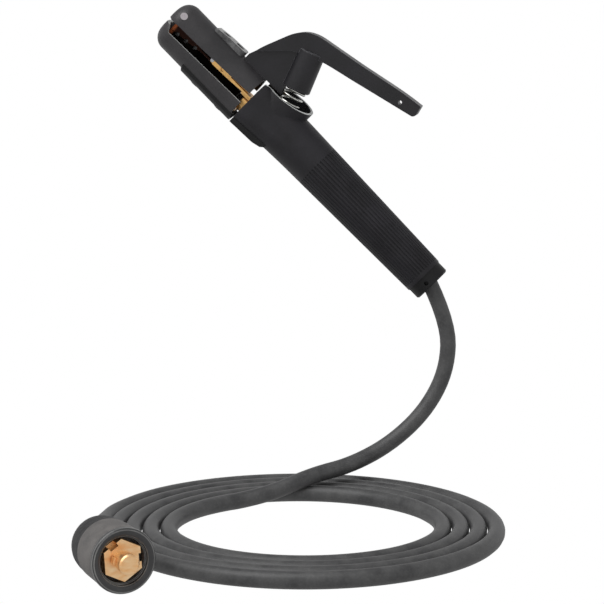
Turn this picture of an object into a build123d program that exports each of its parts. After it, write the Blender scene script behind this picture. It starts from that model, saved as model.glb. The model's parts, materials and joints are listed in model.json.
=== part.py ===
from build123d import *
import math
import os

# Hand-held welding electrode holder with its cable and twist-lock plug.
# Millimetres, +Z up. The origin is the middle of the ribbed grip, which the hand holds.
# The holder leans at 45 degrees, nose up towards -X, and its mirror plane is XZ.
# Its pieces are drawn in the holder's own frame: x from the nose to the cable end,
# z from the grip's axis towards the lever, y across. HOLDER puts them in the part frame.

os.makedirs("parts", exist_ok=True)

# ---- driving dimensions -------------------------------------------------------------
LEAN = 45                    # lean of the handle below the horizontal, degrees
GRIP_X = 203                 # middle of the ribbed grip along the holder
SHELL_R = 15                 # outer radius of both jaw insulators
SHELL_WALL = 2.5
SHELL_END = 78.5
UPPER_NOSE = -1.6            # where the upper insulator's nose starts
LOWER_NOSE = -1.2
NOSE_ROUND = 10
UPPER_Z = 2.8                # axis of the upper insulator
LOWER_Z = -6.0               # axis of the lower insulator
UPPER_LIP = 0.4             # underside of the upper nose
LOWER_LIP = -2.9             # top of the lower nose
JAW_HALF = 7.5               # half width of the brass jaws
JAW_FRONT = (5.0, -5.4)      # front end of the upper jaw's gripping face
JAW_BACK = (30.4, -2.2)      # rear end of it
JAW_GAP = 0.4                # gap left between the jaws when shut
GROOVE_R = 1.6               # electrode grooves, for a 3.2 mm rod
GROOVE_X = (11, 19, 27)
PIVOT = (88, 8)              # lever pivot, x and z in the holder's frame
PIN_R = 2.5
GUARD_T = 1.8
HANDLE_X0 = 82
BLEND_X = 130                # where the square front becomes a round handle
HANDLE_X1 = 259
FRONT_R = 17.75
REAR_R = 15.0
RIB_X0 = 149
RIB_X1 = 256
RIBS = 40
RIB_CUT_R = 0.6
COLLAR_X1 = 268
COLLAR_R = 14.3
SHANK_R = 8.5
SHANK_Z = -4.5
SHANK_X0 = 77
SHANK_X1 = 131
CABLE_D = 11.5
CORE_D = 7.4
BOSS_LOW = (98.9, 27.6)      # centre of the spring boss's lower end
BOSS_UP = (88.4, 55.2)       # centre of its upper end
BOSS_LOW_R = 10.6
BOSS_UP_R = 10.0
CUP_DEPTH = 12
SPRING_R = 7.4               # mean coil radius
WIRE_R = 0.95
SPRING_TURNS = 6.0
SPRING_OUT = 20              # spring length outside the boss
ARM_HALF = 6.5               # half width of the lever arm
HANG_HOLE = (158.6, 75.8)
HANG_R = 1.5
# the cable on the floor
COIL = (-21.2, -162)         # centre of the coil in plan
FLOOR = -193.2
COIL_R0 = 88.2               # centre-line radius half way round the first turn, angle 180
PITCH = 11.9                 # growth of the radius per turn
COIL_A0 = 120                # first angle, counted in a frame turned by COIL_TURN
COIL_A1 = 1600               # last angle: a little over four turns
COIL_TURN = 10
# the plug
PLUG_R = 20.6
PLUG_FRONT = (-102.3, -316.2, FLOOR + PLUG_R)
PLUG_YAW = 34.6              # the plug's heading from -Y towards +X, degrees
NUT_L = 19
BODY_L = 26
BEZEL_L = 5
PIN_D = 13.0
PIN_REACH = 12.0

HOLDER = Rot(0, LEAN, 0) * Pos(-GRIP_X, 0, 0)


# ---- helpers ------------------------------------------------------------------------
def prism(points, half_width):
    """A plate with this outline in x and z, its flat sides at y = +-half_width."""
    return extrude(Plane.XZ * make_face(Polyline(*points, close=True)), half_width, both=True)


def block(x0, x1, y0, y1, z0, z1):
    """A box given by its limits."""
    return Pos((x0 + x1) / 2, (y0 + y1) / 2, (z0 + z1) / 2) * Box(x1 - x0, y1 - y0, z1 - z0)


def rod_x(x0, x1, r, z=0):
    """A cylinder along x."""
    return Pos((x0 + x1) / 2, 0, z) * Rot(0, 90, 0) * Cylinder(r, x1 - x0)


def rod_y(x, z, r, length, y=0):
    """A cylinder along y, centred on y."""
    return Pos(x, y, z) * Rot(90, 0, 0) * Cylinder(r, length)


def between(p, q):
    """Plane at p whose normal points from p to q."""
    p, q = Vector(*p), Vector(*q)
    return Plane(origin=p, z_dir=q - p)


def turned(points, plane=Plane.XZ):
    """A solid of revolution about the plane's vertical axis: points are (radius, height)."""
    face = plane * make_face(Polyline(*points, close=True))
    return revolve(face, Axis(plane.origin, plane.y_dir), 360)


def along_handle(x):
    """Plane for a turned piece whose axis is the handle's and whose foot is at x."""
    return Plane(origin=(x, 0, 0), x_dir=(0, 0, 1), z_dir=(0, 1, 0))


def both_sides(shape):
    """A cut and its mirror image across the holder's mirror plane."""
    return [shape, mirror(shape, Plane.XZ)]


def save(name, shape, place=HOLDER):
    """Writes one node. Several loose solids stay separate inside one node."""
    solids = [place * s for s in shape.solids()]
    out = solids[0] if len(solids) == 1 else Compound(children=solids)
    export_step(out, f"parts/{name}.step")


# ---- jaw insulators -----------------------------------------------------------------
def nosed_rod(r, x0, nose_r):
    """A bar along x from a rounded nose at x0 to the insulators' rear end."""
    outline = [
        Line((x0, 0), (x0, r - nose_r)),
        RadiusArc((x0, r - nose_r), (x0 + nose_r, r), nose_r),
        Line((x0 + nose_r, r), (SHELL_END, r)),
        Line((SHELL_END, r), (SHELL_END, 0)),
        Line((SHELL_END, 0), (x0, 0)),
    ]
    return revolve(Plane.XZ * make_face(outline), Axis.X, 360)


def jaw_shell(x0, z):
    """Whole round insulator before its open side is cut away."""
    outer = nosed_rod(SHELL_R, x0, NOSE_ROUND)
    inner = nosed_rod(SHELL_R - SHELL_WALL, x0 + SHELL_WALL, NOSE_ROUND - SHELL_WALL)
    return Pos(0, 0, z) * (outer - inner)


FAR = 40                     # comfortably past any insulator surface
NOSE_LIP_X = 3.2             # how far the noses' flat lips reach back
open_below = prism([
    (-5, -FAR), (-5, UPPER_LIP), (NOSE_LIP_X, UPPER_LIP), (8, 1.25), (31, 1.8), (80, 4.1), (80, -FAR),
], FAR)
open_above = prism([
    (-5, FAR), (-5, LOWER_LIP), (NOSE_LIP_X, LOWER_LIP), (6.2, -7.4), (80, -5.1), (80, FAR),
], FAR)
upper_insulator = jaw_shell(UPPER_NOSE, UPPER_Z) - open_below
lower_insulator = jaw_shell(LOWER_NOSE, LOWER_Z) - open_above


# ---- brass jaws ---------------------------------------------------------------------
def grip_line(x):
    """Height of the upper jaw's gripping face at x."""
    slope = (JAW_BACK[1] - JAW_FRONT[1]) / (JAW_BACK[0] - JAW_FRONT[0])
    return JAW_FRONT[1] + slope * (x - JAW_FRONT[0])


JAW_TOP = 11.8
FLANGE_TOP = 1.2             # top of the upper jaw's light rear flange at its rear end
upper_outline = [
    JAW_FRONT, JAW_BACK, (31.4, -1.6), (43.8, -1.4), (43.8, -1.8), (60, -1.2), (76.5, 0.2),
    (76.5, 6), (76.5, JAW_TOP), (9, JAW_TOP), (5, 8),
]
lug_outline = [
    (72.6, 0), (72.6, -2.0), (76.4, -2.3), (84, -2.3), (92, 4), (92, 8), (84, 8), (82.6, 1.2), (73, 1.2),
]
upper_jaw = prism(upper_outline, JAW_HALF)
upper_jaw += block(70, 81, -JAW_HALF, JAW_HALF, 0.2, FLANGE_TOP)
upper_jaw -= both_sides(block(31.4, 40.8, 3.5, 10, -0.2, 3.0))       # window beside the jaw's heel
upper_jaw -= both_sides(block(60.5, 78, 2.5, 10, FLANGE_TOP, 6))     # relief above the rear flange
upper_jaw -= both_sides(rod_y(52.2, 0.9, 1.5, 3.5, y=JAW_HALF))      # blind round notch
upper_jaw += prism(lug_outline, 4.1)
upper_jaw += rod_y(*PIVOT, 6, 8.2)
upper_jaw -= rod_y(*PIVOT, PIN_R + 0.05, 30)
JAW_PIN_X, JAW_PIN_Z, JAW_PIN_R = 42.3, 0.3, 1.4
jaw_pin = rod_y(JAW_PIN_X, JAW_PIN_Z, JAW_PIN_R, 2 * JAW_HALF + 1.2)
upper_jaw -= jaw_pin

LOWER_BOTTOM = -15.6
lower_outline = [
    (JAW_FRONT[0], JAW_FRONT[1] - JAW_GAP), (JAW_BACK[0], JAW_BACK[1] - JAW_GAP), (33, -9.4),
    (78, -9.4), (78, LOWER_BOTTOM), (9, LOWER_BOTTOM), (JAW_FRONT[0], -11),
]
rib_outline = [(29.5, -9.5), (29.5, -2.75), (60, -2.2), (72, -1.6), (72, -9.5)]
RIB_HALF = 3.0               # the lower jaw's middle rib stiffens it and closes the view through
EAR_HALF = 7.6
SLOT_X0 = 72                 # where the slot for the upper jaw's lug starts
lower_jaw = prism(lower_outline, JAW_HALF) + prism(rib_outline, RIB_HALF)
lower_jaw += rod_x(SHANK_X0, SHANK_X1, SHANK_R, SHANK_Z)
lower_jaw += block(83, 93.5, -EAR_HALF, EAR_HALF, -6, PIVOT[1]) + rod_y(*PIVOT, 5.5, 2 * EAR_HALF)
lower_jaw -= block(SLOT_X0, 97, -4.4, 4.4, -2.7, 30)
lower_jaw -= block(SLOT_X0, 83, -20, 20, -2.7, 30)
lower_jaw -= rod_y(*PIVOT, PIN_R, 30)
FERRULE_R = CORE_D / 2 + 0.9
FERRULE_X0 = 106
lower_jaw -= rod_x(FERRULE_X0 - 2, SHANK_X1 + 1, FERRULE_R, SHANK_Z)
for x in GROOVE_X:
    groove = rod_y(x, grip_line(x) - JAW_GAP / 2, GROOVE_R, 30)
    upper_jaw -= groove
    lower_jaw -= groove

CABLE_SCREW_X = (111, 122)
CABLE_SCREW_R = 3.0
CABLE_SCREW_LOW = -12.3
screw_top = SHANK_Z - FERRULE_R
screw_length = screw_top - CABLE_SCREW_LOW
set_screw = Pos(0, 0, CABLE_SCREW_LOW + screw_length / 2) * Cylinder(CABLE_SCREW_R - 0.02, screw_length)
set_screw -= Pos(0, 0, CABLE_SCREW_LOW) * extrude(RegularPolygon(1.7, 6), 2.2)
cable_screws = Part() + [Pos(x, 0, 0) * set_screw for x in CABLE_SCREW_X]
lower_jaw -= [Pos(x, 0, -14) * Cylinder(CABLE_SCREW_R, 12) for x in CABLE_SCREW_X]

# ---- guard under the lower insulator and pad on the upper one -----------------------
GUARD_X = (29.5, 79.8)
guard_r = SHELL_R + GUARD_T
guard_ring = rod_x(*GUARD_X, guard_r) - rod_x(0, 90, SHELL_R + 0.02)
lower_guard = Pos(0, 0, LOWER_Z) * guard_ring & block(*GUARD_X, -11, 11, -30, -10)
lower_guard = chamfer(lower_guard.faces().sort_by(Axis.X)[0].edges().group_by(Axis.Z)[0], 1.2)

PAD_HALF = 6.5
pad_outline = [(27.4, 14), (27.4, 17.4), (29, 19.0), (40, 20.3), (55.5, 21.1), (55.5, 14)]
shell_room = Pos(0, 0, UPPER_Z) * rod_x(-2, SHELL_END + 0.3, SHELL_R + 0.02)
upper_pad = prism(pad_outline, PAD_HALF) - shell_room
upper_pad = fillet(upper_pad.edges().filter_by(Axis.Z), 2.5)


def countersunk(x, z, length, direction):
    """A countersunk screw whose head's flat is at z and whose shank goes along direction in z."""
    outline = [(0, 0), (3.4, 0), (1.75, 1.7), (1.75, length), (0, length)]
    slot = Pos(0, 0, 0.5) * Box(5, 0.9, 1)
    body = turned(outline) - slot
    return Pos(x, 0, z) * (body if direction > 0 else Rot(180, 0, 0) * body)


def screw_room(x, z, length, direction):
    """The hole for that screw: the screw itself and the way to its head."""
    outline = [(0, -6), (3.42, -6), (3.42, 0), (1.77, 1.72), (1.77, length), (0, length)]
    body = turned(outline)
    return Pos(x, 0, z) * (body if direction > 0 else Rot(180, 0, 0) * body)


LOWER_SCREWS = [(x, LOWER_Z - guard_r, 9.0, 1) for x in (44, 68)]
UPPER_SCREWS = [(x, z, 11, -1) for x, z in ((36, 19.4), (49, 20.2))]
lower_jaw_screws = Part() + [countersunk(*screw) for screw in LOWER_SCREWS]
upper_jaw_screws = Part() + [countersunk(*screw) for screw in UPPER_SCREWS]
lower_room = [screw_room(*screw) for screw in LOWER_SCREWS]
upper_room = [screw_room(*screw) for screw in UPPER_SCREWS]
lower_guard -= lower_room
lower_insulator -= lower_room
lower_jaw -= lower_room
upper_pad -= upper_room
upper_insulator -= upper_room
upper_jaw -= upper_room

RIVET_X = 6.6
RIVET_TILT = math.radians(24)
nose_direction = Vector(0, -math.cos(RIVET_TILT), math.sin(RIVET_TILT))
rivet_seat = Vector(RIVET_X, 0, UPPER_Z) + nose_direction * (SHELL_R - SHELL_WALL)
rivet_head = Pos(0, 0, SHELL_WALL - 0.2) * Cylinder(2.7, 0.9)
rivet_shank = Pos(0, 0, SHELL_WALL / 2) * Cylinder(1.4, SHELL_WALL)
nose_rivet = Plane(origin=rivet_seat, z_dir=nose_direction) * (rivet_shank + rivet_head)
upper_insulator -= nose_rivet

# ---- handle -------------------------------------------------------------------------
front_plane = Plane(origin=(HANDLE_X0, 0, -0.6), x_dir=(0, 1, 0), z_dir=(1, 0, 0))
blend_plane = Plane(origin=(BLEND_X, 0, 0), x_dir=(0, 1, 0), z_dir=(1, 0, 0))
front_face = front_plane * RectangleRounded(31, 36.4, 9)
mid_face = blend_plane * RectangleRounded(2 * FRONT_R, 2 * FRONT_R, FRONT_R - 0.05)
front_body = loft([front_face, mid_face])
grip_length = HANDLE_X1 - BLEND_X
grip = turned([(0, 0), (FRONT_R, 0), (REAR_R, grip_length), (0, grip_length)], along_handle(BLEND_X))
CUP_X = 101.3
CUP_A = 18.9
CUP_B = 16.2
CUP_WALL = 2.0
WELL_FLOOR = 5.0
RIM_HEIGHT = 20.4            # of the cup's tilted rim on the mirror plane at x = 100
RIM_SLOPE_X = 0.15
RIM_SLOPE_Y = 0.15           # the rim is lower on the -Y side
rim_normal = (-RIM_SLOPE_X, -RIM_SLOPE_Y, 1)
rim_plane = Plane(origin=(100, 0, RIM_HEIGHT), x_dir=(1, 0, RIM_SLOPE_X), z_dir=rim_normal)
above_rim = rim_plane * Pos(0, 0, 20) * Box(80, 80, 40)
cup = Pos(CUP_X, 0, 0) * extrude(Ellipse(CUP_A, CUP_B), 35)
handle = front_body + grip + cup
handle -= above_rim
handle -= Pos(CUP_X, 0, WELL_FLOOR) * extrude(Ellipse(CUP_A - CUP_WALL, CUP_B - CUP_WALL), 40)
handle -= block(HANDLE_X0 - 1, 97, -8.8, 8.8, -2.9, 40)
handle -= rod_x(HANDLE_X0 - 1, 134, SHANK_R + 0.1, SHANK_Z)
BORE_X = 133.5
bore_length = 255 - BORE_X
handle -= turned([(0, 0), (11.6, 0), (10.4, bore_length), (0, bore_length)], along_handle(BORE_X))
handle -= rod_x(250, 262, CABLE_D / 2 + 0.5)


def on_cone(x, angle):
    """Point on the tapered grip's skin at x, at this angle round it."""
    r = FRONT_R + (REAR_R - FRONT_R) * (x - BLEND_X) / grip_length
    return (x, r * math.sin(angle), r * math.cos(angle))


rib_cuts = []
for i in range(RIBS):
    angle = 2 * math.pi * (i + 0.5) / RIBS
    start, end = on_cone(RIB_X0, angle), on_cone(RIB_X1, angle)
    length = (Vector(*end) - Vector(*start)).length
    rib_cuts.append(between(start, end) * Pos(0, 0, length / 2) * Cylinder(RIB_CUT_R, length))
handle -= rib_cuts

# guard under the front of the handle, held by one screw that goes up into the shank
heel_outline = [
    (HANDLE_X0, -12), (HANDLE_X0, -21.0), (104, -20.0), (110.5, -18.4), (113, -16.2), (113, -12),
]
heel_guard = prism(heel_outline, 12) - front_body
HANDLE_SCREW = (99.5, -18.0, 9.5, 1)
handle_screw = countersunk(*HANDLE_SCREW)
handle -= screw_room(*HANDLE_SCREW)
heel_guard -= screw_room(*HANDLE_SCREW)
lower_jaw -= screw_room(*HANDLE_SCREW)

collar_outline = [
    (CABLE_D / 2 + 0.4, 0), (REAR_R - 0.4, 0), (COLLAR_R, 1.0), (COLLAR_R, 8), (COLLAR_R - 1, 9),
    (CABLE_D / 2 + 3.2, 9), (CABLE_D / 2 + 0.6, 4.5),
]
end_collar = turned(collar_outline, along_handle(HANDLE_X1))
end_collar -= rod_y(HANDLE_X1 + 5, 0, 1.6, 6, y=-COLLAR_R)

# cable inside the handle, with its crimped ferrule in the shank
sheath_start = (SHANK_X1 + 1, 0, SHANK_Z)
exit_point = (COLLAR_X1 - 4, 0, 0)
cable_ferrule = rod_x(FERRULE_X0, SHANK_X1, FERRULE_R, SHANK_Z)
cable_ferrule -= rod_x(FERRULE_X0 - 1, SHANK_X1 + 1, CORE_D / 2, SHANK_Z)
cable_core = rod_x(FERRULE_X0, SHANK_X1 + 0.8, CORE_D / 2, SHANK_Z)
inside_length = (Vector(*exit_point) - Vector(*sheath_start)).length
cable_inside = between(sheath_start, exit_point) * Pos(0, 0, inside_length / 2) * Cylinder(
    CABLE_D / 2, inside_length)

# ---- lever --------------------------------------------------------------------------
arm_top = [
    (59.5, 27.2), (61.5, 34.0), (64, 40.6), (66.8, 47.6), (70, 54.9), (72.8, 59.2), (76, 62.6),
    (79.4, 64.9), (83, 66.6), (88, 68.1), (94, 69.3), (106, 71.6), (124, 75.2), (142, 79.2), (160, 82.8),
    (171.3, 84.4),
]
arm_under = [(173.6, 75.4), (166, 73.4), (142, 67.2), (118, 61.0), (102, 56.9), (90, 52.5), (78, 46)]
web_outline = [
    (57.5, 16), (57.5, 22.4), (69.4, 53.6), (96, 57), (101, 43), (96, 17.8), (80, 17.8), (79, 16),
]
BEAD = 2.2                   # height of the raised bead along the arm's back
bead_top = [(58.4, 24.0)] + arm_top[:-1]
bead_under = [
    (162, 81.0), (142, 77.0), (124, 73.0), (106, 69.3), (94, 66.9), (88.6, 65.6), (84, 63.9), (80.6, 62.2),
    (77.6, 60.2), (74.8, 57.2), (72.1, 53.0), (68.8, 45.9), (66, 39.2), (61, 26.2),
]


def smooth_plate(top, under, half_width):
    """A plate whose long edges are smooth curves through these points in x and z."""
    edges = [Spline(*top), Line(top[-1], under[0]), Spline(*under), Line(under[-1], top[0])]
    return extrude(Plane.XZ * make_face(edges), half_width, both=True)


arm = smooth_plate(arm_top, arm_under, ARM_HALF)
arm = fillet(arm.edges().filter_by(Axis.Y).group_by(Axis.X)[-1], 3)
bead = smooth_plate(bead_top, bead_under, ARM_HALF + 1.0)
web = prism(web_outline, 4.5)
boss_axis = between((BOSS_LOW[0], 0, BOSS_LOW[1]), (BOSS_UP[0], 0, BOSS_UP[1]))
boss_length = math.dist(BOSS_LOW, BOSS_UP)
boss = boss_axis * turned([
    (0, 0), (BOSS_LOW_R - 0.8, 0), (BOSS_LOW_R, 0.8), (BOSS_UP_R, boss_length - 0.5),
    (BOSS_UP_R - 0.5, boss_length), (0, boss_length),
])
recess_r = SPRING_R + WIRE_R + 0.4
cup_recess = boss_axis * Pos(0, 0, CUP_DEPTH / 2) * Cylinder(recess_r, CUP_DEPTH)
spring_room = boss_axis * Pos(0, 0, -8) * Cylinder(recess_r + 0.2, 16)
lever = arm + web + bead + boss
lever -= shell_room
lever -= cup_recess
lever -= spring_room
lever -= rod_y(*HANG_HOLE, HANG_R, 40)
lever -= upper_pad

# ---- pivot and spring ---------------------------------------------------------------
PIN_HALF = 8.0
CLIP_T = 0.6
pin_head = rod_y(*PIVOT, 3.6, CLIP_T, y=-PIN_HALF)
clip_bore = rod_y(*PIVOT, PIN_R - 0.5, CLIP_T, y=PIN_HALF - 0.1)
clip_seat = rod_y(*PIVOT, PIN_R, CLIP_T, y=PIN_HALF - 0.1) - clip_bore
pivot_pin = rod_y(*PIVOT, PIN_R, 2 * PIN_HALF) + pin_head - clip_seat
clip_slot = Pos(-8, PIN_HALF, 0) * block(*(PIVOT[0], PIVOT[0] + 8), -1, 1, PIVOT[1] - 1, PIVOT[1] + 1)
pivot_clip = rod_y(*PIVOT, PIN_R + 1.4, CLIP_T, y=PIN_HALF - 0.1) - clip_bore - clip_slot

axis_down = Vector(BOSS_LOW[0] - BOSS_UP[0], 0, BOSS_LOW[1] - BOSS_UP[1]).normalized()
seat_centre = Vector(BOSS_LOW[0], 0, BOSS_LOW[1]) + axis_down * SPRING_OUT
seat_plane = Plane(origin=seat_centre, z_dir=axis_down * -1)
coil_height = SPRING_OUT + CUP_DEPTH - 2 * WIRE_R - 0.2
helix = Helix(coil_height / SPRING_TURNS, coil_height, SPRING_R)
wire = sweep(Plane(origin=helix @ 0, z_dir=helix % 0) * Circle(WIRE_R), helix, is_frenet=True)
spring = seat_plane * Pos(0, 0, WIRE_R + 0.1) * wire
seat_block = seat_plane * Pos(0, 0, -4) * Cylinder(recess_r - 0.1, 8)
spring_seat = seat_block & block(80, 130, -20, 20, WELL_FLOOR, 30)

# ---- cable --------------------------------------------------------------------------
LEAD_POINTS = [
    (43.13, 0, -43.13), (58, -0.5, -73), (57.5, -2.5, -107), (43.5, -11, -136), (20, -24, -158.5),
    (-6, -44, -171), (-30.2, -63.5, -174.6), (-55.2, -83.3, -183.6), (-76.6, -96, FLOOR + CABLE_D / 2),
]
yaw = math.radians(PLUG_YAW)
plug_axis = Vector(math.sin(yaw), -math.cos(yaw), 0)
PLUG_LENGTH = NUT_L + BODY_L + BEZEL_L
plug_rear = Vector(*PLUG_FRONT) - plug_axis * PLUG_LENGTH
before_plug = plug_rear - plug_axis * 33
TAIL_POINTS = [
    (-154.2, -138.4, FLOOR + CABLE_D / 2), (-157, -166, FLOOR + CABLE_D / 2), (-155, -198, -180.5),
    (before_plug.X, before_plug.Y, before_plug.Z), (plug_rear.X, plug_rear.Y, plug_rear.Z),
]


def spiral(angle):
    """Centre-line point of the coil in the part frame, at this running angle in degrees."""
    r = COIL_R0 + PITCH * (angle - 180) / 360
    a = math.radians(angle + COIL_TURN)
    return (COIL[0] + r * math.cos(a), COIL[1] + r * math.sin(a))


def rounded_tube(name, points):
    """A cable stretch: straight runs with tangent bends, each as wide as its runs allow."""
    runs = [Vector(*b) - Vector(*a) for a, b in zip(points, points[1:])]
    radii = []
    for before, after in zip(runs, runs[1:]):
        half_turn = math.radians(before.get_angle(after) / 2)
        radii.append(0.45 * min(before.length, after.length) / math.tan(half_turn))
    path = FilletPolyline(*points, radius=radii)
    tube = sweep(between(points[0], points[1]) * Circle(CABLE_D / 2), path)
    expected = math.pi * CABLE_D ** 2 / 4 * path.length
    print(name, "length", round(path.length, 1), "bend radii", [round(r) for r in radii],
          "volume ratio", round(tube.volume / expected, 4))
    return tube


def edge_of_coil(offset, first, last):
    """Points of the spiral moved outwards by offset, ten degrees apart."""
    steps = round((last - first) / 10)
    out = []
    for i in range(steps + 1):
        x, y = spiral(first + (last - first) * i / steps)
        a = math.atan2(y - COIL[1], x - COIL[0])
        out.append((x + offset * math.cos(a), y + offset * math.sin(a)))
    return out


def ring_face(edge):
    """A flat face bounded by one turn of the spiral and the short step that closes it."""
    return make_face([Spline(*edge), Line(edge[-1], edge[0])])


cable_lead = rounded_tube("cable_lead", LEAD_POINTS)
cable_tail = rounded_tube("cable_tail", TAIL_POINTS)
half = CABLE_D / 2
outer_face = ring_face(edge_of_coil(half, COIL_A1 - 360, COIL_A1))
inner_face = ring_face(edge_of_coil(-half, COIL_A0, COIL_A0 + 360))
cable_coil = Pos(0, 0, FLOOR) * (extrude(outer_face, CABLE_D) - extrude(inner_face, CABLE_D))
turns = (COIL_A1 - COIL_A0) / 360
mean_r = COIL_R0 + PITCH * ((COIL_A0 + COIL_A1) / 2 - 180) / 360
print("coil turns", round(turns, 2), "length", round(2 * math.pi * mean_r * turns))

# ---- plug ---------------------------------------------------------------------------
PLUG = Plane(origin=plug_rear, x_dir=(0, 0, 1), z_dir=plug_axis).location
BORE_R = 9.6
RECESS_R = 15.4
HEX_AF = 23.4
FACE_TURN = 34               # the keyed flat's direction, degrees from up, towards +X
body_end = NUT_L + BODY_L
HEX_Z0 = body_end - 6
HEX_Z1 = PLUG_LENGTH - 2.6
sheath_r = CABLE_D / 2 + 0.1
plug_nut = turned([
    (sheath_r, 0), (14.5, 0), (16.4, 0.8), (17.6, 2.8), (18.5, 6), (19.0, 10), (19.0, NUT_L),
    (BORE_R, NUT_L), (BORE_R, 6), (sheath_r, 3),
])
plug_body = turned([
    (BORE_R, NUT_L), (18.9, NUT_L), (19.7, NUT_L + 1), (20.2, body_end - 1.2), (19.4, body_end),
    (14.2, body_end), (14.2, HEX_Z0), (BORE_R, HEX_Z0),
])
plug_bezel = turned([
    (14.2, body_end), (19.4, body_end), (PLUG_R, body_end + 1.1), (PLUG_R, PLUG_LENGTH - 1.2),
    (PLUG_R - 1.2, PLUG_LENGTH), (17.4, PLUG_LENGTH), (RECESS_R, PLUG_LENGTH - 1.0),
    (RECESS_R, body_end + 1.4), (14.2, body_end + 1.4),
])


def on_flat(side, depth, width):
    """A notch in the middle of the hexagon's flat that faces side degrees."""
    return Rot(0, 0, side) * Pos(HEX_AF / 2, 0, HEX_Z1) * Box(2 * depth, width, 12)


hexagon = Rot(0, 0, FACE_TURN + 30) * RegularPolygon(HEX_AF / math.sqrt(3), 6)
plug_pin = Pos(0, 0, HEX_Z0) * extrude(hexagon, HEX_Z1 - HEX_Z0)
plug_pin -= on_flat(FACE_TURN, 2.3, 5.8)
plug_pin -= on_flat(FACE_TURN - 120, 1.5, 5.2)
NECK_L = 6.0                 # slimmer root of the pin, where the bayonet lug stands
plug_pin += Pos(0, 0, HEX_Z1 + NECK_L / 2) * Cylinder(PIN_D / 2 - 0.4, NECK_L)
tip = Cylinder(PIN_D / 2, PIN_REACH - NECK_L)
plug_pin += Pos(0, 0, HEX_Z1 + (NECK_L + PIN_REACH) / 2) * chamfer(tip.edges().sort_by(Axis.Z)[-1], 1.0)
plug_pin += Rot(0, 0, 78) * Pos(PIN_D / 2 - 0.1, 0, HEX_Z1 + 3.0) * Box(3.4, 4, 4.2)
CORE_Z0 = 17                 # where the crimped core starts inside the plug
SOCKET_Z1 = 37
plug_pin += Pos(0, 0, (CORE_Z0 + HEX_Z0) / 2) * Cylinder(BORE_R - 0.1, HEX_Z0 - CORE_Z0)
socket_length = SOCKET_Z1 - CORE_Z0
plug_pin -= Pos(0, 0, CORE_Z0 + socket_length / 2) * Cylinder(FERRULE_R, socket_length)
PLUG_SCREW_Z = (22, 31)
PLUG_SCREW_R = 2.5
SCREW_TOP = BORE_R - 0.7
plug_screw_length = SCREW_TOP - FERRULE_R


def radial(z, r, inner, length):
    """A rod that stands on the plug's axis direction at height z, from inner outwards."""
    return Rot(0, 0, 90) * Pos(inner + length / 2, 0, z) * Rot(0, 90, 0) * Cylinder(r, length)


plug_screws = Part() + [radial(z, PLUG_SCREW_R - 0.02, FERRULE_R, plug_screw_length) for z in PLUG_SCREW_Z]
plug_pin -= [radial(z, PLUG_SCREW_R, 3, 10) for z in PLUG_SCREW_Z]
plug_ferrule = Pos(0, 0, CORE_Z0 + socket_length / 2) * (
    Cylinder(FERRULE_R, socket_length) - Cylinder(CORE_D / 2, socket_length))
SHEATH_L = 13
plug_core = Pos(0, 0, (SHEATH_L + SOCKET_Z1) / 2) * Cylinder(CORE_D / 2, SOCKET_Z1 - SHEATH_L)
plug_sheath = Pos(0, 0, SHEATH_L / 2) * Cylinder(CABLE_D / 2, SHEATH_L)

# ---- write the nodes ----------------------------------------------------------------
HOLDER_NODES = {
    "lower_jaw": lower_jaw, "lower_insulator": lower_insulator, "lower_guard": lower_guard,
    "lower_jaw_screws": lower_jaw_screws, "handle": handle, "heel_guard": heel_guard,
    "handle_screw": handle_screw, "end_collar": end_collar, "cable_screws": cable_screws,
    "cable_ferrule": cable_ferrule, "cable_core": cable_core, "cable_inside": cable_inside,
    "pivot_pin": pivot_pin, "pivot_clip": pivot_clip, "spring": spring, "spring_seat": spring_seat,
    "lever": lever, "upper_jaw": upper_jaw, "upper_insulator": upper_insulator, "upper_pad": upper_pad,
    "upper_jaw_screws": upper_jaw_screws, "nose_rivet": nose_rivet, "jaw_pin": jaw_pin,
}
PLUG_NODES = {
    "plug_nut": plug_nut, "plug_body": plug_body, "plug_bezel": plug_bezel, "plug_pin": plug_pin,
    "plug_screws": plug_screws, "plug_ferrule": plug_ferrule, "plug_core": plug_core,
    "plug_sheath": plug_sheath,
}
CABLE_NODES = {"cable_lead": cable_lead, "cable_coil": cable_coil, "cable_tail": cable_tail}
for place, group in ((HOLDER, HOLDER_NODES), (PLUG, PLUG_NODES), (Location(), CABLE_NODES)):
    for name, shape in group.items():
        save(name, shape, place)
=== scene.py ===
# %% [markdown]
# # A welding electrode holder on its coiled cable
# A spring shuts two brass jaws on a welding rod, a lever opens them, and a rubber cable as thick as a
# finger carries the current from a twist-lock plug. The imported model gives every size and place, so each
# piece here is either one of its nodes with a better finish, or a finer surface that stands in its place.

# %% Load the fixed frame
import json
import math

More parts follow.
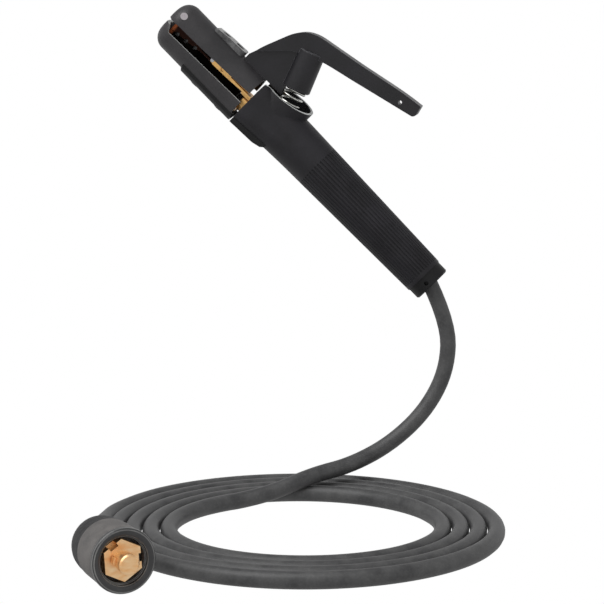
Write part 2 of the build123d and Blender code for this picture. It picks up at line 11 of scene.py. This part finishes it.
import bmesh
import bpy
import numpy as np
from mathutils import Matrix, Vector


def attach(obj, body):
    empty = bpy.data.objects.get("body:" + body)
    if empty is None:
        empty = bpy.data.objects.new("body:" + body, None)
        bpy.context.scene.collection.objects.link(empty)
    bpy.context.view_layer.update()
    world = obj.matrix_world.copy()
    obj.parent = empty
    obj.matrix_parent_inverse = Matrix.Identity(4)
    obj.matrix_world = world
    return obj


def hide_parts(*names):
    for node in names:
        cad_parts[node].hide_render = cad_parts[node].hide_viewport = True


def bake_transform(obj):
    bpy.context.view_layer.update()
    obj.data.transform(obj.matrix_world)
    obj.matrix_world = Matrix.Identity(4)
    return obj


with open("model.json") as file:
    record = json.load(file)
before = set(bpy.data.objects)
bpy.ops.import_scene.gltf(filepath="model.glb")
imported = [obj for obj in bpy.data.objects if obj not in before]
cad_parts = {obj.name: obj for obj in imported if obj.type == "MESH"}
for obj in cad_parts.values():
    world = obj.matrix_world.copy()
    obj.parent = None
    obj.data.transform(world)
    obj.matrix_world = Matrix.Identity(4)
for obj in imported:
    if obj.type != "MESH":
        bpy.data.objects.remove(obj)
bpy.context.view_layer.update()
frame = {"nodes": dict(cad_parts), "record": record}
nodes = frame["nodes"]
MM = 0.001
print("nodes", len(nodes))

# %% [markdown]
# ## The holder's own directions
# The holder leans at 45 degrees, so its pieces are easier to think of along its own axis: x from the nose
# to the cable, z towards the lever. One small turn brings such points into the frame of the whole part.

# %% From the holder's frame to the part's frame
LEAN = math.radians(45)
GRIP_X = 203


def in_part(points):
    """Millimetre points in the holder's frame, as metres in the part's frame: take the grip's middle off x,
    then turn about y, so new x = x cos + z sin and new z = z cos - x sin."""
    x, y, z = np.moveaxis(np.asarray(points, float), -1, 0)
    x = x - GRIP_X
    turned = (x * math.cos(LEAN) + z * math.sin(LEAN), y, z * math.cos(LEAN) - x * math.sin(LEAN))
    return np.stack(turned, -1) * MM


def in_holder(vector, direction=False):
    """The way back for one point in metres, or for one direction, which only turns."""
    x, y, z = vector
    back = np.array((x * math.cos(LEAN) - z * math.sin(LEAN), y, z * math.cos(LEAN) + x * math.sin(LEAN)))
    return back if direction else back / MM + (GRIP_X, 0, 0)


print("pivot at", in_part((88, 0, 8)).round(4))

# %% [markdown]
# ## Where the viewer stands
# A long lens from a little above the coil and slightly to the right keeps the rings of cable flat ovals.

# %% Camera
camera = bpy.data.objects.new("camera", bpy.data.cameras.new("camera"))
bpy.context.scene.collection.objects.link(camera)
camera.data.sensor_width = 36
camera.data.lens = 133.75
camera.data.clip_end = 100
camera.location = (0.23095, -1.5902, 0.18915)
VIEW_DIRECTION = Vector((-0.1716, 0.9732, -0.1532))
camera.rotation_euler = VIEW_DIRECTION.to_track_quat("-Z", "Y").to_euler()
bpy.context.scene.camera = camera

# %% [markdown]
# ## Small tools for surfaces
# A grid of points is joined into quads row by row, and its last column meets the first one. `caps` fills
# the first and last row with one face each.


# %% Grid to mesh
def grid_mesh(name, grid, caps=False, smooth=True):
    """A mesh from an array of points, rows by columns by 3, in metres. Point (i, j) is joined to its
    neighbours (i+1, j), (i+1, j+1) and (i, j+1), the columns wrapping round."""
    rows, columns, _ = grid.shape
    i, j = np.meshgrid(np.arange(rows - 1), np.arange(columns), indexing="ij")
    k = (j + 1) % columns
    quads = np.stack((i * columns + j, i * columns + k, (i + 1) * columns + k, (i + 1) * columns + j), -1)
    faces = quads.reshape(-1, 4).tolist()
    if caps:
        faces += [list(range(columns))[::-1], list(range((rows - 1) * columns, rows * columns))]
    mesh = bpy.data.meshes.new(name)
    mesh.from_pydata(grid.reshape(-1, 3).tolist(), [], faces)
    mesh.polygons.foreach_set("use_smooth", np.full(len(faces), smooth))
    piece = bpy.data.objects.new(name, mesh)
    bpy.context.scene.collection.objects.link(piece)
    return piece


def face_outwards(piece):
    """Turns every face's normal to the outside of its closed shell."""
    work = bmesh.new()
    work.from_mesh(piece.data)
    bmesh.ops.remove_doubles(work, verts=work.verts, dist=1e-6)
    bmesh.ops.recalc_face_normals(work, faces=work.faces)
    work.to_mesh(piece.data)
    work.free()


# %% [markdown]
# ## Small tools for finishes
# Paint charts give colours as sRGB hex, and the shader wants linear light, so one function turns them.


# %% Colours and nodes
def linear(hex_colour):
    """Linear RGBA of an sRGB hex colour: a channel c is c / 12.92 up to 0.04045, and above it
    ((c + 0.055) / 1.055) to the power 2.4."""
    c = np.array([int(hex_colour[i:i + 2], 16) for i in (1, 3, 5)]) / 255
    c = np.where(c <= 0.04045, c / 12.92, ((c + 0.055) / 1.055) ** 2.4)
    return (*c, 1.0)


def add(tree, kind, inputs=(), **settings):
    """Adds one node. settings are its properties; inputs pairs a socket's name or number with a value, or
    with the output socket of another node."""
    node = tree.nodes.new("ShaderNode" + kind)
    for key, value in settings.items():
        setattr(node, key, value)
    for key, value in dict(inputs).items():
        if isinstance(value, bpy.types.NodeSocket):
            tree.links.new(value, node.inputs[key])
        else:
            node.inputs[key].default_value = value
    return node


def blank(name):
    """A new material's tree, with its shader and its Object coordinates."""
    material = bpy.data.materials.new(name)
    material.use_nodes = True
    tree = material.node_tree
    tree.nodes.clear()
    shader = add(tree, "BsdfPrincipled")
    add(tree, "OutputMaterial", {"Surface": shader.outputs[0]})
    return material, tree, shader, add(tree, "TexCoord").outputs["Object"]


# %% [markdown]
# ## Moulded plastic and rubber
# Handle, lever and jaw shells are glass-filled nylon, moulded in a spark-eroded steel tool, which leaves a
# fine dull grain. Edges rub shiny and a little paler in use, and dust settles in soft clouds; the edge finishes
# are made far paler than that, so they also paint the highlight that light leaves along the outlines. One
# function makes this family: the grain is a Noise in real millimetres that drives the bump, the clouds are a
# much larger Noise that shifts colour and roughness.


# %% The family of moulded finishes
def moulded(name, base, cloud, roughness, grain_mm, grain_depth_mm, specular=0.3, cloud_mm=22, spread=0.09):
    """A moulded black or grey plastic. Its colour runs from base to cloud with a Noise cloud_mm wide, its
    roughness rises with the same Noise, and its bump is a Noise grain_mm wide and grain_depth_mm deep."""
    material, tree, shader, place = blank(name)
    clouds = add(tree, "TexNoise", {"Vector": place, "Scale": 1000 / cloud_mm, "Detail": 4.0, "Roughness": 0.6})
    soft = add(tree, "MapRange", {"Value": clouds.outputs["Fac"], "From Min": 0.35, "From Max": 0.7})
    grain = add(tree, "TexNoise", {"Vector": place, "Scale": 1000 / grain_mm, "Detail": 3.0, "Roughness": 0.55})
    speck = add(tree, "MapRange", {"Value": grain.outputs["Fac"], "From Min": 0.45, "From Max": 0.8,
                                   "To Max": 0.35})
    shade = add(tree, "Math", {0: soft.outputs[0], 1: speck.outputs[0]}, operation="ADD", use_clamp=True)
    colour = add(tree, "Mix", {"Factor": shade.outputs[0], 6: linear(base), 7: linear(cloud)}, data_type="RGBA")
    dull = add(tree, "MapRange", {"Value": clouds.outputs["Fac"], "From Min": 0.3, "From Max": 0.75,
                                  "To Min": roughness - spread, "To Max": roughness + spread})
    bump = add(tree, "Bump", {"Height": grain.outputs["Fac"], "Strength": 0.6,
                              "Distance": grain_depth_mm * MM})
    tree.links.new(colour.outputs[2], shader.inputs["Base Color"])
    tree.links.new(dull.outputs[0], shader.inputs["Roughness"])
    tree.links.new(bump.outputs[0], shader.inputs["Normal"])
    shader.inputs["Specular IOR Level"].default_value = specular
    return material


handle_nylon = moulded("moulded_handle_nylon", "#1a191c", "#252428", 0.48, 1.6, 0.05)
# Each edge finish below is rubbed wear and a painted highlight in one: far paler than its face, it paints the
# light that the bevelled outlines catch.
handle_edge_wear_and_highlight = moulded("rubbed_and_highlit_handle_edge", "#4c4b4f", "#6a696c", 0.4, 1.6, 0.02)
lever_nylon = moulded("moulded_lever_nylon", "#161518", "#201f23", 0.4, 1.4, 0.05, specular=0.4)
lever_edge_wear_and_highlight = moulded("rubbed_and_highlit_lever_edge", "#57565b", "#77767b", 0.36, 1.4, 0.02)
shell_nylon = moulded("moulded_jaw_shell_nylon", "#272628", "#353335", 0.46, 1.2, 0.07, specular=0.5)
shell_edge_wear_and_highlight = moulded("rubbed_and_highlit_shell_edge", "#6d6f6e", "#8b8d8c", 0.42, 1.2, 0.03)
# Rim finish: a pale painted highlight on rims that lie in the other shell's shade.
pale_rim_highlight = moulded("painted_highlight_shell_rim", "#a3a5a4", "#c9cbc9", 0.5, 1.2, 0.03, specular=0.5)
guard_nylon = moulded("moulded_guard_nylon", "#0b0b0c", "#131314", 0.55, 1.2, 0.05)
guard_edge_wear_and_highlight = moulded("rubbed_and_highlit_guard_edge", "#131314", "#1e1e1f", 0.45, 1.2, 0.02)
print("moulded finishes", len(bpy.data.materials))

# %% [markdown]
# The raised pad on the upper shell has a coarse eroded top, and the light it catches is painted on it as a far
# paler finish than its sides, a painted highlight; the plug's soft rubber is greyer, with a leather-like grain
# on its rear nut.

# %% Pad and plug rubber
pad_nylon = moulded("eroded_pad_nylon", "#2a2a2b", "#6a6a6b", 0.62, 1.3, 0.35, specular=0.5, cloud_mm=6)
# Paler edge and top finish of the pad: rubbed wear on the edges and a painted highlight on the top.
pad_edge_and_top_highlight = moulded("rubbed_and_highlit_pad_edge", "#7d7c7d", "#b4b6b4", 0.45, 1.3, 0.2)
nut_rubber = moulded("leather_grained_plug_rubber", "#1d1d1e", "#3a3a3b", 0.6, 2.2, 0.5, cloud_mm=9)
body_rubber = moulded("dusty_plug_body_rubber", "#514f4e", "#6b6866", 0.65, 1.1, 0.1, specular=0.4, cloud_mm=14)
bezel_rubber = moulded("smooth_plug_bezel_rubber", "#2c2c2d", "#3b3b3c", 0.38, 1.4, 0.03, specular=0.5)
# Rim finish of the bezel: rubbed wear and a painted highlight for the light ring along its edge.
plug_rim_wear_and_highlight = moulded("rubbed_and_highlit_plug_rim", "#5b5b5b", "#7e7e7c", 0.34, 1.4, 0.02, specular=0.5)

# %% [markdown]
# ## Cable rubber
# The sheath is extruded synthetic rubber, dusted with talc so that its turns don't stick. It is satin, a
# mid grey where the light grazes it, with faint lengthwise drag marks. The talc shows as pale clouds, and
# the grain is drawn at 1.5 mm, coarser than the real one, so that it can be seen at all.

# %% Extruded cable rubber
cable_rubber, tree, shader, place = blank("extruded_talced_cable_rubber")
clouds = add(tree, "TexNoise", {"Vector": place, "Scale": 1000 / 14, "Detail": 5.0, "Roughness": 0.62})
grain = add(tree, "TexNoise", {"Vector": place, "Scale": 1000 / 1.5, "Detail": 2.0})
talc = add(tree, "MapRange", {"Value": clouds.outputs["Fac"], "From Min": 0.35, "From Max": 0.72})
fleck = add(tree, "MapRange", {"Value": grain.outputs["Fac"], "From Min": 0.5, "From Max": 0.8, "To Max": 0.4})
shade = add(tree, "Math", {0: talc.outputs[0], 1: fleck.outputs[0]}, operation="ADD", use_clamp=True)
colour = add(tree, "Mix", {"Factor": shade.outputs[0], 6: linear("#363637"), 7: linear("#505050")},
             data_type="RGBA")
dull = add(tree, "MapRange", {"Value": clouds.outputs["Fac"], "From Min": 0.3, "From Max": 0.75,
                              "To Min": 0.42, "To Max": 0.58})
bump = add(tree, "Bump", {"Height": grain.outputs["Fac"], "Strength": 0.5, "Distance": 0.08 * MM})
tree.links.new(colour.outputs[2], shader.inputs["Base Color"])
tree.links.new(dull.outputs[0], shader.inputs["Roughness"])
tree.links.new(bump.outputs[0], shader.inputs["Normal"])
shader.inputs["Specular IOR Level"].default_value = 0.45

# %% [markdown]
# ## Brass, copper and steel
# The plug's contact is turned brass, bright and clean. The jaws are cast brass: arcs have tinted the nose
# copper-brown, and behind it a dark band is painted, partly arc tint and partly painted shade where the shells
# shade the jaws, nearly black painted shade on the lower jaw inside its shell; further back the brass is bright
# again, so the colour follows the holder's own x.


# %% Metals
def metal(name, bright, dark, roughness, grain_mm, depth_mm, stretch=(1, 1, 1), spread=0.1):
    """A bare metal. A Noise grain_mm wide, stretched by the given factors, mixes the bright and dark
    colours, shifts the roughness by spread and gives a bump depth_mm deep."""
    material, tree, shader, place = blank(name)
    turn = add(tree, "Mapping", {"Vector": place, "Rotation": (0, -LEAN, 0), "Scale": stretch})
    grain = add(tree, "TexNoise", {"Vector": turn.outputs[0], "Scale": 1000 / grain_mm, "Detail": 3.0})
    even = add(tree, "MapRange", {"Value": grain.outputs["Fac"], "From Min": 0.3, "From Max": 0.7})
    colour = add(tree, "Mix", {"Factor": even.outputs[0], 6: linear(bright), 7: linear(dark)}, data_type="RGBA")
    rough = add(tree, "MapRange", {"Value": grain.outputs["Fac"], "From Min": 0.3, "From Max": 0.7,
                                   "To Min": roughness - spread, "To Max": roughness + spread})
    bump = add(tree, "Bump", {"Height": grain.outputs["Fac"], "Strength": 0.4, "Distance": depth_mm * MM})
    tree.links.new(colour.outputs[2], shader.inputs["Base Color"])
    tree.links.new(rough.outputs[0], shader.inputs["Roughness"])
    tree.links.new(bump.outputs[0], shader.inputs["Normal"])
    shader.inputs["Metallic"].default_value = 1.0
    return material


turned_brass = metal("turned_plug_brass", "#ffdcae", "#f4bf85", 0.42, 3.0, 0.04, stretch=(0.4, 0.4, 1))
zinc_steel = metal("zinc_plated_spring_wire", "#dcdcd8", "#a9a9a4", 0.2, 1.2, 0.01)
screw_steel = metal("blackened_screw_steel", "#5a5a5c", "#3a3a3c", 0.38, 1.0, 0.02)
pin_steel = metal("ground_pin_steel", "#c9c9cb", "#94949a", 0.26, 0.8, 0.01)
rivet_steel = metal("polished_rivet_steel", "#f4ecf0", "#d8d0d6", 0.16, 1.5, 0.005)
crimped_copper = metal("crimped_copper", "#d8895e", "#9c5637", 0.36, 0.7, 0.03)
NOSE_COPPER = "#a85f3c"
BRIGHT_BRASS = "#edbd78"
COPPER_END = 6.6
DARK_BAND_START = 8.4


def jaw_metal(name, dark_band_end, bright_start, tint_and_shade_colour):
    """Cast brass with a copper-coloured nose up to COPPER_END, then a dark band of the given colour, arc tint
    and painted shade together, up to the given end, and bright from the given start on, all in millimetres from
    the nose. The first change is a straight ramp, the second a smoothstep, and both are made ragged by a Noise
    5 mm wide."""
    material, tree, shader, place = blank(name)
    turn = add(tree, "Mapping", {"Vector": place, "Rotation": (0, -LEAN, 0)})
    along = add(tree, "SeparateXYZ", {0: turn.outputs[0]})
    clouds = add(tree, "TexNoise", {"Vector": place, "Scale": 1000 / 5, "Detail": 4.0})
    ragged = add(tree, "MapRange", {"Value": clouds.outputs["Fac"], "To Min": -0.001, "To Max": 0.001})
    edge = add(tree, "Math", {0: along.outputs[0], 1: ragged.outputs[0]}, operation="ADD")
    bright = add(tree, "MapRange", {"Value": edge.outputs[0], "From Min": (dark_band_end - GRIP_X) * MM,
                                    "From Max": (bright_start - GRIP_X) * MM}, interpolation_type="SMOOTHSTEP")
    nose = add(tree, "MapRange", {"Value": edge.outputs[0], "From Min": (COPPER_END - GRIP_X) * MM,
                                  "From Max": (DARK_BAND_START - GRIP_X) * MM})
    dark = add(tree, "Mix", {"Factor": nose.outputs[0], 6: linear(NOSE_COPPER), 7: linear(tint_and_shade_colour)},
               data_type="RGBA")
    colour = add(tree, "Mix", {"Factor": bright.outputs[0], 6: dark.outputs[2], 7: linear(BRIGHT_BRASS)},
                 data_type="RGBA")
    soot = add(tree, "MapRange", {"Value": clouds.outputs["Fac"], "From Min": 0.3, "From Max": 0.6,
                                  "To Min": 0.7, "To Max": 1.0})
    dirty = add(tree, "Mix", {"Factor": 1.0, 6: colour.outputs[2], 7: soot.outputs[0]}, data_type="RGBA",
                blend_type="MULTIPLY")
    rough = add(tree, "MapRange", {"Value": bright.outputs[0], "To Min": 0.6, "To Max": 0.32})
    bump = add(tree, "Bump", {"Height": clouds.outputs["Fac"], "Strength": 0.4, "Distance": 0.1 * MM})
    tree.links.new(dirty.outputs[2], shader.inputs["Base Color"])
    tree.links.new(rough.outputs[0], shader.inputs["Roughness"])
    tree.links.new(bump.outputs[0], shader.inputs["Normal"])
    shader.inputs["Metallic"].default_value = 1.0
    return material


# The dark colours here are partly arc tint and partly painted shade under the shells; on the lower jaw, inside
# its shell, the near black is painted shade.
upper_brass = jaw_metal("arc_tinted_and_shaded_upper_jaw_brass", 41, 44.5, "#32201b")
lower_brass = jaw_metal("painted_shade_lower_jaw_brass", 76.5, 78, "#0d0a09")
print("metals done", len(bpy.data.materials))

# %% [markdown]
# ## The cable
# One length of rubber cable leaves the end collar along the handle's axis, drops in a loose bow to the
# floor, winds four neat turns outwards and ends in the plug. It is one smooth spline with the route's
# points as its control points, so it bends as a stiff cable does.

# %% The cable's route
CABLE_D = 11.5
FLOOR = -193.2
ON_FLOOR = FLOOR + CABLE_D / 2
PLUG_AXIS = FLOOR + 20.6
COIL_CENTRE = (-21.2, -162)
COIL_R0 = 88.2
COIL_R0_ANGLE = 180
COIL_PITCH = 11.9
COIL_START = 120
COIL_END = 1600
COIL_TURN = 10
LEAD_POINTS = [
    (43.13, 0, -43.13), (58, -0.5, -73), (57.5, -2.5, -107), (43.5, -11, -136), (20, -24, -158.5),
    (-6, -44, -171), (-30.2, -63.5, -174.6), (-55.2, -83.3, -183.6), (-76.6, -96, ON_FLOOR),
]
TAIL_POINTS = [
    (-154.2, -138.4, ON_FLOOR), (-154.5, -166, ON_FLOOR), (-151, -198, -183.5),
    (-147, -244.5, -173), (-130.69, -275.04, PLUG_AXIS),
]


def coil_points(step=15):
    """Points of the flat spiral, step degrees apart, in millimetres. The radius is COIL_R0 at COIL_R0_ANGLE
    and grows by one pitch each turn. It is then widened by 1 / sqrt(cos(step / 2)), because the smooth
    spline cuts inside its control points."""
    angle = np.arange(COIL_START + step / 2, COIL_END - step / 2, step)
    radius = (COIL_R0 + COIL_PITCH * (angle - COIL_R0_ANGLE) / 360) / math.cos(math.radians(step / 2)) ** 0.5
    turn = np.radians(angle + COIL_TURN)
    x = COIL_CENTRE[0] + radius * np.cos(turn)
    y = COIL_CENTRE[1] + radius * np.sin(turn)
    return np.stack((x, y, np.full_like(angle, ON_FLOOR)), -1)


route = np.concatenate((LEAD_POINTS, coil_points(), TAIL_POINTS)) * MM
curve = bpy.data.curves.new("cable", "CURVE")
curve.dimensions = "3D"
spline = curve.splines.new("NURBS")
spline.points.add(len(route) - 1)
spline.points.foreach_set("co", np.column_stack((route, np.ones(len(route)))).ravel())
spline.order_u = 3
spline.use_endpoint_u = True
spline.resolution_u = 6
curve.bevel_depth = CABLE_D / 2 * MM
curve.bevel_resolution = 6
cable = bpy.data.objects.new("cable", curve)
bpy.context.scene.collection.objects.link(cable)
curve.materials.append(cable_rubber)

# %% [markdown]
# The same spline is also made into a bare line without its thickness, and its points are read out.

# %% The cable's centre line
bare = curve.copy()
bare.bevel_depth = 0
line_object = bpy.data.objects.new("line", bare)
line_mesh = bpy.data.meshes.new_from_object(line_object)
line = np.empty(len(line_mesh.vertices) * 3)
line_mesh.vertices.foreach_get("co", line)
line = line.reshape(-1, 3)
bpy.data.objects.remove(line_object)
bpy.data.curves.remove(bare)

# %% [markdown]
# ## Softened copies of moulded pieces
# No moulded or cast edge is razor sharp. A copy of the node is welded, its flat triangles are dissolved
# into whole faces, and a Bevel rounds what is left sharper than an angle. The bevel's faces take a second,
# paler material: rubbed wear and a painted highlight for the light that the real one's outlines catch. Rims
# and the pad's top take a third, pale material face by face, a painted highlight where they lie in shade or
# catch the light.

# %% Copy, weld and bevel
BODY_OF = {n: body for body, members in frame["record"]["behaviour"]["bodies"].items() for n in members}
BEVEL_ANGLE = math.radians(38)
BEVEL_SEGMENTS = 2
FLAT_ANGLE = math.radians(0.6)
WELD = 2e-6


def softened(node, name, face_finish, edge_finish, width_mm, highlit_faces=None, highlight_finish=None):
    """A copy of a CAD node with rounded edges: points closer than WELD metres merged, faces within
    FLAT_ANGLE of each other joined, then a bevel width_mm wide on edges that turn by more than BEVEL_ANGLE.
    The last two arguments, if given, are a test of (x, z, nx, nz) and a finish: faces that pass the test, from
    their middle and normal in the holder's frame, take that finish, a pale painted highlight."""
    mesh = nodes[node].data.copy()
    mesh.name = name
    work = bmesh.new()
    work.from_mesh(mesh)
    bmesh.ops.remove_doubles(work, verts=work.verts, dist=WELD)
    bmesh.ops.dissolve_degenerate(work, edges=work.edges, dist=WELD)
    bmesh.ops.dissolve_limit(work, angle_limit=FLAT_ANGLE, verts=work.verts, edges=work.edges,
                             use_dissolve_boundaries=False)
    for face in work.faces:
        face.smooth = True
    work.to_mesh(mesh)
    work.free()
    if "custom_normal" in mesh.attributes:
        mesh.attributes.remove(mesh.attributes["custom_normal"])
    mesh.materials.clear()
    mesh.materials.append(face_finish)
    mesh.materials.append(edge_finish)
    if highlit_faces:
        mesh.materials.append(highlight_finish)
        for face in mesh.polygons:
            middle = in_holder(face.center)
            normal = in_holder(face.normal, direction=True)
            if highlit_faces(middle[0], middle[2], normal[0], normal[2]):
                face.material_index = 2
    piece = bpy.data.objects.new(name, mesh)
    bpy.context.scene.collection.objects.link(piece)
    bevel = piece.modifiers.new("rounded_edges", "BEVEL")
    bevel.width = width_mm * MM
    bevel.segments = BEVEL_SEGMENTS
    bevel.limit_method = "ANGLE"
    bevel.angle_limit = BEVEL_ANGLE
    bevel.use_clamp_overlap = True
    bevel.miter_outer = "MITER_ARC"
    bevel.material = 1
    even = piece.modifiers.new("even_shading", "WEIGHTED_NORMAL")
    even.keep_sharp = False
    even.weight = 90
    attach(piece, BODY_OF[node])
    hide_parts(node)
    return piece


def lower_rim(x, z, nx, nz):
    """The rim of the lower jaw shell, and the steep end of its nose: faces that look at the upper shell."""
    return (nz > 0.8 and -9 < z < 0) or (nx > 0.3 and nz > 0.2 and z > -8 and x < 8)


def upper_rim(x, z, nx, nz):
    """The rim of the upper jaw shell."""
    return nz < -0.8 and -2 < z < 5


def cup_rim(x, z, nx, nz):
    """The tilted rim of the spring cup on top of the handle."""
    return nz > 0.9 and nx < -0.1 and z > 14


def pad_top(x, z, nx, nz):
    """The flat top of the raised pad."""
    return nz > 0.9


# Each row: new name, face finish, bevel finish (wear and painted highlight), bevel width in mm, and the face
# test with its pale painted-highlight finish.
SOFTENED = {
    "lower_insulator": ("lower_shell", shell_nylon, shell_edge_wear_and_highlight, 0.4, lower_rim, pale_rim_highlight),
    "upper_insulator": ("upper_shell", shell_nylon, shell_edge_wear_and_highlight, 0.4, upper_rim, pale_rim_highlight),
    "upper_pad": ("shell_pad", pad_nylon, pad_edge_and_top_highlight, 0.5, pad_top, pad_edge_and_top_highlight),
    "lower_guard": ("shell_guard", guard_nylon, guard_edge_wear_and_highlight, 0.6, None, None),
    "heel_guard": ("handle_guard", guard_nylon, guard_edge_wear_and_highlight, 0.6, None, None),
    "handle": ("grip_moulding", handle_nylon, handle_edge_wear_and_highlight, 0.35, cup_rim, pale_rim_highlight),
    "lever": ("squeeze_lever", lever_nylon, lever_edge_wear_and_highlight, 0.7, None, None),
    "end_collar": ("cable_collar", guard_nylon, guard_edge_wear_and_highlight, 0.4, None, None),
    "plug_nut": ("rear_nut", nut_rubber, nut_rubber, 0.5, None, None),
    "plug_body": ("plug_barrel", body_rubber, body_rubber, 0.4, None, None),
    "plug_bezel": ("front_bezel", bezel_rubber, plug_rim_wear_and_highlight, 0.4, None, None),
    "plug_pin": ("plug_contact", turned_brass, turned_brass, 0.35, None, None),
    "lower_jaw": ("lower_brass_jaw", lower_brass, lower_brass, 0.25, None, None),
    "upper_jaw": ("upper_brass_jaw", upper_brass, upper_brass, 0.25, None, None),
}
for node, (name, face_finish, edge_finish, width, highlit_faces, highlight_finish) in SOFTENED.items():
    softened(node, name, face_finish, edge_finish, width, highlit_faces, highlight_finish)

# %% [markdown]
# ## Pieces that the frame already has right
# Pins, screws and what lies inside the grip and the plug keep the frame's own surfaces and only take a
# finish.

# %% Finishes for the frame's own nodes
PLAIN_FINISHES = {
    "nose_rivet": rivet_steel, "jaw_pin": pin_steel, "pivot_pin": pin_steel, "pivot_clip": pin_steel,
    "lower_jaw_screws": screw_steel, "upper_jaw_screws": screw_steel, "handle_screw": screw_steel,
    "cable_screws": screw_steel, "plug_screws": screw_steel, "spring_seat": guard_nylon,
    "cable_ferrule": crimped_copper, "plug_ferrule": crimped_copper, "cable_core": crimped_copper,
    "plug_core": crimped_copper, "cable_inside": cable_rubber, "plug_sheath": cable_rubber,
}
for node, finish in PLAIN_FINISHES.items():
    nodes[node].data.materials.clear()
    nodes[node].data.materials.append(finish)

# %% [markdown]
# ## The spring
# Bright plated wire wound into six even turns, from its seat in the grip's cup up into the lever's boss.
# A small ring is carried along the helix, and END_GAP keeps both ends clear of what they press on.

# %% Spring wire along its helix
BOSS_LOW = np.array((98.9, 0, 27.6))
BOSS_UP = np.array((88.4, 0, 55.2))
SPRING_R = 7.4
WIRE_R = 0.95
WIRE_SIDES = 14
WIRE_STEPS = 360
TURNS = 6.0
BELOW_BOSS = 20
IN_BOSS = 12
END_GAP = 0.1
axis = (BOSS_LOW - BOSS_UP) / np.linalg.norm(BOSS_LOW - BOSS_UP)
seat = BOSS_LOW + axis * BELOW_BOSS
side = np.array((0, 1.0, 0))
across = np.cross(side, axis)
phase = np.linspace(0, 2 * math.pi * TURNS, WIRE_STEPS)
height = WIRE_R + END_GAP + (BELOW_BOSS + IN_BOSS - 2 * (WIRE_R + END_GAP)) * phase / phase[-1]
outward = np.cos(phase)[:, None] * across + np.sin(phase)[:, None] * side
centre = seat - height[:, None] * axis + SPRING_R * outward
forward = np.gradient(centre, axis=0)
forward /= np.linalg.norm(forward, axis=1)[:, None]
upward = np.cross(forward, outward)
ring = np.linspace(0, 2 * math.pi, WIRE_SIDES, endpoint=False)
wire = centre[:, None] + WIRE_R * (np.cos(ring)[None, :, None] * outward[:, None]
                                   + np.sin(ring)[None, :, None] * upward[:, None])
coil_spring = grid_mesh("coil_spring", in_part(wire), caps=True)
face_outwards(coil_spring)
coil_spring.data.materials.append(zinc_steel)
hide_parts("spring")
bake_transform(coil_spring)
print("spring faces", len(coil_spring.data.polygons))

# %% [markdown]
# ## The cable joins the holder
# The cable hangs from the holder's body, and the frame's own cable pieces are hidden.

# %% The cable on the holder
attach(cable, "holder")
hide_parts("cable_lead", "cable_coil", "cable_tail")

# %% [markdown]
# ## Floor and light
# The floor is a white light table that runs to the horizon, so nothing throws a shadow on it; to the viewer
# it is full white, and as a lamp it is dimmer, so that undersides stay dark. The sky is brightest low down
# and meets the floor without a line, and one broad soft light comes from above.

# %% Floor
FLOOR_SIDES = 96
FLOOR_RADII = (0.0005, 0.5, 2, 8, 40)
floor_turns = np.linspace(0, 2 * math.pi, FLOOR_SIDES, endpoint=False)
floor_x = np.outer(FLOOR_RADII, np.cos(floor_turns))
floor_y = np.outer(FLOOR_RADII, np.sin(floor_turns))
floor_grid = np.stack((floor_x, floor_y, np.full_like(floor_x, FLOOR * MM)), -1)
floor = grid_mesh("floor", floor_grid, smooth=False)
floor_paint, tree, shader, _ = blank("matt_white_floor_paint")
shader.inputs["Base Color"].default_value = (0, 0, 0, 1)
shader.inputs["Roughness"].default_value = 1.0
shader.inputs["Specular IOR Level"].default_value = 0.0
shader.inputs["Emission Color"].default_value = (1, 1, 1, 1)
seen = add(tree, "MapRange", {"Value": add(tree, "LightPath").outputs["Is Camera Ray"], "To Min": 0.6,
                              "To Max": 1.0})
tree.links.new(seen.outputs[0], shader.inputs["Emission Strength"])
floor.data.materials.append(floor_paint)

# %% Sky and lamps
world = bpy.data.worlds.new("studio")
bpy.context.scene.world = world
world.use_nodes = True
tree = world.node_tree
tree.nodes.clear()
direction = add(tree, "TexCoord").outputs["Generated"]
rise = add(tree, "SeparateXYZ", {0: direction})
glow = add(tree, "MapRange", {"Value": rise.outputs[2], "From Min": 0.02, "From Max": 0.5, "To Min": 1.0,
                              "To Max": 0.45})
sky = add(tree, "Background", {"Color": (1, 1, 1, 1), "Strength": glow.outputs[0]})
add(tree, "OutputWorld", {"Surface": sky.outputs[0]})
sun = bpy.data.objects.new("broad_light", bpy.data.lights.new("broad_light", "SUN"))
sun.data.energy = 2.0
sun.data.angle = math.radians(50)
sun.rotation_euler = Vector((0.35, 0.45, -1)).to_track_quat("-Z", "Y").to_euler()
bpy.context.scene.collection.objects.link(sun)
bpy.context.scene.view_settings.view_transform = "Standard"
